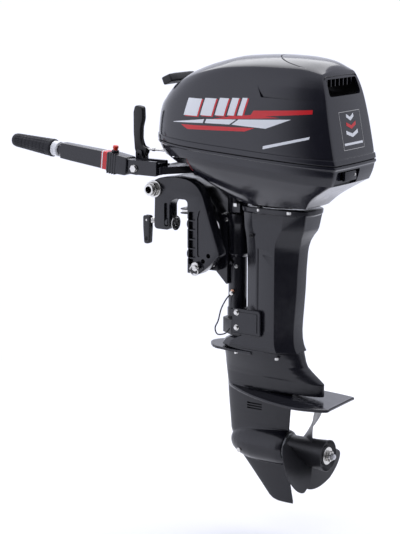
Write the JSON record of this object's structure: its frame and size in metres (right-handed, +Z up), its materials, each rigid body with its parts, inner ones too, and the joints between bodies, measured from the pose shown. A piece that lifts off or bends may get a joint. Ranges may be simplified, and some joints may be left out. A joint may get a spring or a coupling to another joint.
{
  "type": "outboard motor",
  "caption": "Tiller-steered portable outboard motor with a cowled powerhead, clamp-on transom bracket, midsection leg, gearcase with skeg and a bladed propeller.",
  "frame": {"origin": "top centre of the transom's aft face, where the clamp brackets hook over the transom", "axes": "+X aft (away from the boat), +Y starboard, +Z up; the motor stands upright, at rest on its tilt pin and steering straight ahead"},
  "size_m": [0.9189, 0.265, 1.056],
  "materials": {
    "gloss_black": "gloss paint over cast aluminium and moulded cowls",
    "satin_black": "satin paint",
    "matte_black": "moulded plastic",
    "rubber": "soft moulded rubber",
    "zinc": "zinc-plated steel",
    "steel": "machined steel",
    "cast_alloy": "die-cast alloy",
    "anode": "dull sacrificial metal",
    "red": "glossy red plastic",
    "white": "white plastic or cord",
    "ceramic": "glazed ceramic with a rubber cap"
  },
  "bodies": {
    "transom_clamp": {"clamp_bracket_port": "gloss_black", "clamp_bracket_starboard": "gloss_black", "tilt_tube": "zinc", "tilt_nut_port": "zinc", "tilt_nut_starboard": "zinc"},
    "rest_pin": {"tilt_pin": "zinc"},
    "pad_port": {"clamp_pad_port": "zinc"},
    "screw_port": {"clamp_screw_port": "zinc"},
    "handle_port": {"clamp_handle_port": "satin_black"},
    "pad_starboard": {"clamp_pad_starboard": "zinc"},
    "screw_starboard": {"clamp_screw_starboard": "zinc"},
    "handle_starboard": {"clamp_handle_starboard": "satin_black"},
    "swivel": {"swivel_bracket": "gloss_black"},
    "motor": {"steering_shaft": "zinc", "steering_bracket": "gloss_black", "lower_mount_bracket": "satin_black", "lower_mount_cover_port": "satin_black", "lower_mount_cover_starboard": "satin_black", "driveshaft_housing": "gloss_black", "gearcase": "gloss_black", "trim_anode": "anode", "water_pump_housing": "cast_alloy", "bearing_carrier": "cast_alloy", "bottom_cowl": "gloss_black", "exhaust_guide": "cast_alloy", "cylinder_block": "cast_alloy", "cylinder_head": "cast_alloy", "spark_plug_lower": "ceramic", "spark_plug_upper": "ceramic", "carburettor": "cast_alloy", "intake_silencer": "matte_black", "recoil_housing": "satin_black", "tiller_pivot_bolt": "zinc", "ground_lead": "matte_black"},
    "piston_lower": {"piston_1": "cast_alloy"},
    "piston_upper": {"piston_2": "cast_alloy"},
    "choke": {"choke_knob": "matte_black"},
    "cowl": {"top_cowl": "gloss_black"},
    "latch": {"cowl_latch": "gloss_black"},
    "starter": {"starter_handle": "matte_black", "starter_rope": "white"},
    "crank_train": {"crankshaft": "steel", "flywheel": "cast_alloy", "driveshaft": "steel", "pump_impeller": "rubber", "pinion_gear": "steel"},
    "gear_forward": {"forward_gear": "steel"},
    "gear_reverse": {"reverse_gear": "steel"},
    "prop": {"propeller_shaft": "steel", "propeller_nut": "zinc", "propeller_washer": "zinc", "propeller": "gloss_black"},
    "clutch": {"clutch_dog": "steel"},
    "tiller": {"tiller_arm": "gloss_black"},
    "throttle": {"throttle_dial": "white", "throttle_grip": "rubber"},
    "stop": {"stop_button": "red"},
    "gear_lever": {"shift_lever": "matte_black"},
    "gear_rod": {"shift_rod": "zinc"},
    "gear_shaft": {"shift_shaft": "steel"}
  },
  "joints": [
    {"name": "tilt_pin_pull", "type": "slide", "parent": "transom_clamp", "child": "rest_pin", "axis": [0, -1, 0], "range_m": [0, 0.22]},
    {"name": "clamp_pad_advance_port", "type": "slide", "parent": "transom_clamp", "child": "pad_port", "axis": [1, 0, 0], "range_m": [0, 0.014]},
    {"name": "clamp_screw_turn_port", "type": "hinge", "parent": "pad_port", "child": "screw_port", "pos_m": [-0.124, -0.078, -0.06], "axis": [1, 0, 0], "range_deg": [0, 1620]},
    {"name": "clamp_handle_fold_port", "type": "hinge", "parent": "screw_port", "child": "handle_port", "pos_m": [-0.124, -0.078, -0.06], "axis": [0, 1, 0], "range_deg": [0, 90]},
    {"name": "clamp_pad_advance_starboard", "type": "slide", "parent": "transom_clamp", "child": "pad_starboard", "axis": [1, 0, 0], "range_m": [0, 0.014]},
    {"name": "clamp_screw_turn_starboard", "type": "hinge", "parent": "pad_starboard", "child": "screw_starboard", "pos_m": [-0.124, 0.078, -0.06], "axis": [1, 0, 0], "range_deg": [0, 1620]},
    {"name": "clamp_handle_fold_starboard", "type": "hinge", "parent": "screw_starboard", "child": "handle_starboard", "pos_m": [-0.124, 0.078, -0.06], "axis": [0, 0, 1], "range_deg": [0, 90]},
    {"name": "tilt", "type": "hinge", "parent": "transom_clamp", "child": "swivel", "pos_m": [-0.093, 0, 0.019], "axis": [0, -1, 0], "range_deg": [0, 70]},
    {"name": "steering", "type": "hinge", "parent": "swivel", "child": "motor", "pos_m": [0.0805, 0, 0], "axis": [0, 0, 1], "range_deg": [-38, 38]},
    {"name": "cowl_lift", "type": "slide", "parent": "motor", "child": "cowl", "axis": [0, 0, 1], "range_m": [0, 0.4]},
    {"name": "starter_pull", "type": "slide", "parent": "cowl", "child": "starter", "axis": [-1, 0, 0], "range_m": [0, 0.9], "stiffness_N_per_m": 12, "springref_m": -1, "deforming": ["starter_rope"]},
    {"name": "cowl_latch_turn", "type": "hinge", "parent": "motor", "child": "latch", "pos_m": [0.38, 0, 0.087], "axis": [0, -1, 0], "range_deg": [0, 60]},
    {"name": "choke_pull", "type": "slide", "parent": "motor", "child": "choke", "axis": [-1, 0, 0], "range_m": [0, 0.025]},
    {"name": "crank_spin", "type": "hinge", "parent": "motor", "child": "crank_train", "pos_m": [0.142, 0, 0], "axis": [0, 0, 1], "continuous": true},
    {"name": "forward_gear_spin", "type": "hinge", "parent": "motor", "child": "gear_forward", "pos_m": [0.122, 0, -0.583], "axis": [1, 0, 0], "continuous": true},
    {"name": "reverse_gear_spin", "type": "hinge", "parent": "motor", "child": "gear_reverse", "pos_m": [0.162, 0, -0.583], "axis": [1, 0, 0], "continuous": true},
    {"name": "propeller_spin", "type": "hinge", "parent": "motor", "child": "prop", "pos_m": [0.27, 0, -0.583], "axis": [1, 0, 0], "continuous": true},
    {"name": "piston_stroke_lower", "type": "slide", "parent": "motor", "child": "piston_lower", "axis": [1, 0, 0], "range_m": [-0.02, 0.03]},
    {"name": "piston_stroke_upper", "type": "slide", "parent": "motor", "child": "piston_upper", "axis": [1, 0, 0], "range_m": [-0.02, 0.03]},
    {"name": "tiller_fold", "type": "hinge", "parent": "motor", "child": "tiller", "pos_m": [-0.133, -0.095, 0.066], "axis": [0, 1, 0], "range_deg": [0, 80]},
    {"name": "throttle_twist", "type": "hinge", "parent": "tiller", "child": "throttle", "pos_m": [-0.37763, -0.095, 0.092], "axis": [-0.9952, 0, 0.0976], "range_deg": [-10, 90]},
    {"name": "stop_press", "type": "slide", "parent": "tiller", "child": "stop", "axis": [-0.0976, 0, -0.9952], "range_m": [0, 0.003], "stiffness_N_per_m": 800},
    {"name": "shift_swing", "type": "hinge", "parent": "motor", "child": "gear_lever", "pos_m": [-0.152, -0.062, 0.094], "axis": [0, 1, 0], "range_deg": [-36, 0]},
    {"name": "shift_rod_move", "type": "slide", "parent": "motor", "child": "gear_rod", "axis": [-1, 0, 0], "range_m": [0, 0.008]},
    {"name": "shift_shaft_move", "type": "slide", "parent": "motor", "child": "gear_shaft", "axis": [0, 0, 1], "range_m": [0, 0.008]},
    {"name": "clutch_dog_move", "type": "slide", "parent": "prop", "child": "clutch", "axis": [1, 0, 0], "range_m": [0, 0.0036]}
  ],
  "couplings": [
    {"joint": "clamp_pad_advance_port", "follows": "clamp_screw_turn_port", "m_per_rad": 0.00047746},
    {"joint": "clamp_pad_advance_starboard", "follows": "clamp_screw_turn_starboard", "m_per_rad": 0.00047746},
    {"joint": "forward_gear_spin", "follows": "crank_spin", "ratio": 0.48148},
    {"joint": "reverse_gear_spin", "follows": "crank_spin", "ratio": -0.48148},
    {"joint": "propeller_spin", "follows": "crank_spin", "ratio": 0.48148},
    {"joint": "shift_rod_move", "follows": "shift_swing", "m_per_rad": -0.012},
    {"joint": "shift_shaft_move", "follows": "shift_swing", "m_per_rad": -0.012},
    {"joint": "clutch_dog_move", "follows": "shift_swing", "m_per_rad": -0.0055}
  ]
}
